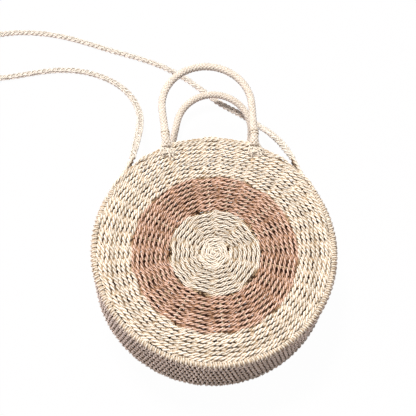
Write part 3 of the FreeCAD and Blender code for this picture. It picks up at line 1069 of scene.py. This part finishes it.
def braid_rope(mesh, line, hint, ropes):
    """Strands that run round the rope both ways, each over one and under the next."""
    side, up = frames_along(line, hint)
    run = run_along(line)
    end = np.minimum(run, run[-1] - run)
    flat = smoothstep(end, 0.0, 11 * MM)
    thick = 1 + 0.14 * (1 - smoothstep(end, 12 * MM, 34 * MM))
    high = (0.52 + 0.48 * flat) * thick
    wide = (1.18 - 0.18 * flat) * thick
    strand = ropes.rope_radius * 0.27
    middle = ropes.rope_radius - strand * 0.8 - BRAID_RELIEF
    for way in (1, -1):
        for k in range(ropes.carriers):
            angle = way * TURN * run / ropes.braid_pitch + TURN * k / ropes.carriers
            weave = way * np.cos(TURN * ropes.carriers * run / ropes.braid_pitch)
            out = (np.cos(angle) * wide)[:, None] * side + (np.sin(angle) * high)[:, None] * up
            centre = line + (middle + BRAID_RELIEF * weave)[:, None] * out
            centre[:, 2] = np.maximum(centre[:, 2], 1.3 * strand)
            across, over = frames_along(centre, unit(out))
            # Painted shade on a strand where it passes under the others
            mesh.tube(centre, across * 1.25, over * 0.8, strand, mesh.rng.uniform(0, 1),
                      shade=0.65 * smoothstep(-weave, -0.2, 1.0))


def whip_rope(mesh, arch, hint, ropes, bulge, scale):
    """Two short coils of twine round the rope, near the first foot of its arch."""
    across, up = frames_along(arch, hint)
    run = run_along(arch)
    share = np.linspace(-1, 1, 60)
    angle = share * 2.2 * math.pi
    for place in WHIPPINGS:
        at = place + share * 0.8 * MM
        middle, wide, tall = (values_at(at, run, values) for values in (arch, across, up))
        out = np.cos(angle)[:, None] * wide + np.sin(angle)[:, None] * tall
        mesh.plied(middle + out * ropes.rope_radius * bulge, out, scale=scale, hidden_shade=0.2)


class CIRCLEBAG_OT_handles(bpy.types.Operator):
    """Braided rope handles, with the laid core inside each and the whippings round it"""
    bl_idname = "circlebag.handles"
    bl_label = "Rope handles"

    def execute(self, context):
        sizes, ropes, colours = settings(context)
        rope = straw_material("Handle rope", colours.rope, crease_shade_share=0.72, fibre_scale=420.0, mottle=0.2)
        core_cord = straw_material("Core cord", colours.rope, crease_shade_share=0.6, fibre_scale=420.0)
        twine = straw_material("Whipping twine", colours.twine, fibre_scale=600.0)
        for side, rng in each_side(sizes, 90):
            tilt = tilt_of(side, ropes)
            hint = np.array([0.0, -math.sin(tilt), math.cos(tilt)])
            line = rope_line(side, ropes)
            foot_y, foot_z = FEET[side]
            body = side + "_handle"
            bend = ((0.0, foot_y - BEND_REACH, foot_z), (0.0, foot_y + BEND_REACH, foot_z))

            braid = CordMesh(sizes, rng)
            braid_rope(braid, line, hint, ropes)
            braid.write(body + "_rope", rope, "handle_rope", body + "_braid", body=body, bend=bend)

            core = CordMesh(sizes, rng)
            core.plied(resample(line[5:-5], 2.2 * MM), hint, scale=1.3)
            core.write(body + "_laid_core", core_cord, "core_cord", body + "_core", body=body, bend=bend)

            whip = CordMesh(sizes, rng)
            arch = resample(arch_line(side, ropes), 0.5 * MM)
            whip_rope(whip, arch, hint, ropes, 1.08, 0.24)
            whip_rope(whip, arch[::-1], hint, ropes, 1.04, 0.2)
            whip.write(body + "_twine", twine, "whipping_twine", body + "_whippings", body=body)
        return {"FINISHED"}


# Strands of an opened rope end, in millimetres: start and end across the foot, length and how deep it lies
SPLAY = ((-4.2, -5.0, 14.0, 1.3), (-1.4, -1.2, 16.0, 1.3), (1.4, 2.2, 16.0, 1.3), (4.2, 5.6, 14.0, 1.3),
         (-5.0, -8.0, 15.0, 0.0), (-3.0, 4.0, 21.0, 0.0), (-1.0, 8.5, 20.0, 0.0), (1.5, -4.5, 19.0, 0.0),
         (3.5, 10.5, 16.0, 0.0), (5.0, -1.0, 17.0, 0.0))

# Stitches over a rope end, in millimetres: distance from the foot and slant
LASHINGS = ((9.5, 2.6), (13.75, -3.0), (18.0, 1.2))

# Each face's height and way out, and in millimetres a strand's lift and a stitch's top and drop
FOOT_LEVELS = {"front": (BAG_DEPTH, 1, 1.9, 4.1, 6.0), "back": (0.0, -1, -3.2, -0.95, 2.0)}


class CIRCLEBAG_OT_lashings(bpy.types.Operator):
    """The rope ends, opened out on the panel, and the stitches that hold them down"""
    bl_idname = "circlebag.lashings"
    bl_label = "Lashed rope ends"

    def execute(self, context):
        sizes, _, colours = settings(context)
        cream = straw_material("Cream straw", colours.cream)
        share = np.linspace(-1, 1, 16)
        for side, rng in each_side(sizes, 110):
            foot_y = FEET[side][0]
            face, out, lift, top, drop = FOOT_LEVELS[side]
            lacing = CordMesh(sizes, rng)
            for sign, hand in ((-1, "left"), (1, "right")):
                foot = np.array([sign * FOOT_X, foot_y, face])
                mesh = CordMesh(sizes, rng)
                for first, last, reach, deep in SPLAY:
                    stray = rng.uniform(-0.6, 0.6, 2)
                    rise = out * (lift + rng.uniform(0.0, 0.8) - deep)
                    bend, tip = 0.6 * first + 0.4 * last + stray[0], last + stray[1]
                    corners = ((first, -1.0, rise + 1.6), (bend, -0.5 * reach, rise),
                               (tip, -reach, rise * 0.8), (tip * 1.1, -reach - 3.5, out * -3.0))
                    line = smooth_line(np.array(corners) * MM + foot, 1.2 * MM)
                    mesh.plied(line, UP, scale=0.8, hidden_shade=0.25)
                mesh.write(f"{side}_handle_{hand}_splay", cream, "handle_rope", f"{side}_handle_{hand}_end")
                for distance, slant in LASHINGS:
                    line = np.stack([share * 9.0, share * slant - distance,
                                     out * (top - drop * np.abs(share) ** 4)], -1) * MM
                    lacing.plied(line + foot, UP, scale=0.4, hidden_shade=0.15)
            lacing.write(side + "_handle_lacing", cream, "stitch_cord", side + "_handle_lashings")
        return {"FINISHED"}


OPERATORS = (CIRCLEBAG_OT_stage, CIRCLEBAG_OT_strap, CIRCLEBAG_OT_panels, CIRCLEBAG_OT_rims,
             CIRCLEBAG_OT_band, CIRCLEBAG_OT_roots, CIRCLEBAG_OT_handles, CIRCLEBAG_OT_lashings)


class CIRCLEBAG_PT_sidebar(bpy.types.Panel):
    """Lists the bag's pieces and their sizes"""
    bl_label = "Circle Bag"
    bl_idname = "CIRCLEBAG_PT_sidebar"
    bl_space_type = "VIEW_3D"
    bl_region_type = "UI"
    bl_category = "Circle Bag"

    def draw(self, context):
        for operator in OPERATORS:
            self.layout.operator(operator.bl_idname)
        for group in settings(context):
            for name in group.__annotations__:
                self.layout.prop(group, name)


GROUPS = {
    "circlebag_weave": CIRCLEBAG_PG_weave,
    "circlebag_ropes": CIRCLEBAG_PG_ropes,
    "circlebag_colours": CIRCLEBAG_PG_colours,
}


def register():
    for name, group in GROUPS.items():
        bpy.utils.register_class(group)
        setattr(bpy.types.Scene, name, PointerProperty(type=group))
    for cls in OPERATORS + (CIRCLEBAG_PT_sidebar,):
        bpy.utils.register_class(cls)


def unregister():
    for cls in reversed(OPERATORS + (CIRCLEBAG_PT_sidebar,)):
        bpy.utils.unregister_class(cls)
    for name, group in GROUPS.items():
        delattr(bpy.types.Scene, name)
        bpy.utils.unregister_class(group)


def main():
    """Make every piece in order."""
    register()
    bpy.ops.circlebag.stage()
    bpy.ops.circlebag.strap()
    bpy.ops.circlebag.panels()
    bpy.ops.circlebag.rims()
    bpy.ops.circlebag.band()
    bpy.ops.circlebag.roots()
    bpy.ops.circlebag.handles()
    bpy.ops.circlebag.lashings()
    bpy.context.view_layer.update()


if __name__ == "__main__":
    main()
